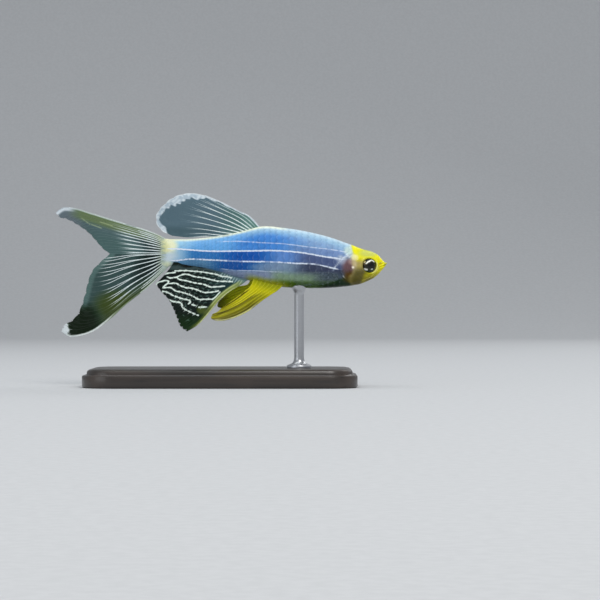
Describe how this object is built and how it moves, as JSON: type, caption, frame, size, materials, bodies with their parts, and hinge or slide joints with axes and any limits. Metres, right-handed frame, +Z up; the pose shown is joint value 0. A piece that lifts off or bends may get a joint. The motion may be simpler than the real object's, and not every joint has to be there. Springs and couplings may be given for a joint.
{
  "type": "long-finned zebra danio",
  "caption": "Still life-size zebra danio with a slim striped body, flowing veil fins and a deeply forked tail, held over a flat display base by a rod.",
  "frame": {"origin": "centre of the underside of the stand's base, under the middle of the fish's length", "axes": "+X towards the fish's head, +Y towards its left side, +Z up"},
  "size_m": [0.0541, 0.022, 0.0313],
  "materials": {
    "blue_skin": "moist scaled skin, deep blue with thin pale lengthwise lines over pale blue and cream",
    "yellow_skin": "smooth moist skin, lemon yellow on top and olive on the cheek and throat",
    "gill_skin": "thin bony plate under skin, flushed red with a pearly glint",
    "clear_fin": "see-through smoky membrane over pale rays, with white margins",
    "yellow_fin": "see-through lemon yellow membrane over fine rays",
    "eye": "wet glossy eye, dark with a silvery gold ring",
    "stand_wood": "dark stained hardwood, satin",
    "stand_steel": "satin steel rod"
  },
  "bodies": {
    "root": {"head": "yellow_skin", "lower_jaw": "yellow_skin", "gill_cover_right": "gill_skin", "gill_cover_left": "gill_skin", "eye_right": "eye", "eye_left": "eye", "trunk": "blue_skin", "tail_stem": "blue_skin", "dorsal_fin": "clear_fin", "anal_fin": "clear_fin", "tail_fin_upper": "clear_fin", "tail_fin_lower": "clear_fin", "pelvic_fin_right": "yellow_fin", "pelvic_fin_left": "yellow_fin", "pectoral_fin_right": "clear_fin", "pectoral_fin_left": "clear_fin", "stand_base": "stand_wood", "stand_rod": "stand_steel"}
  },
  "joints": []
}
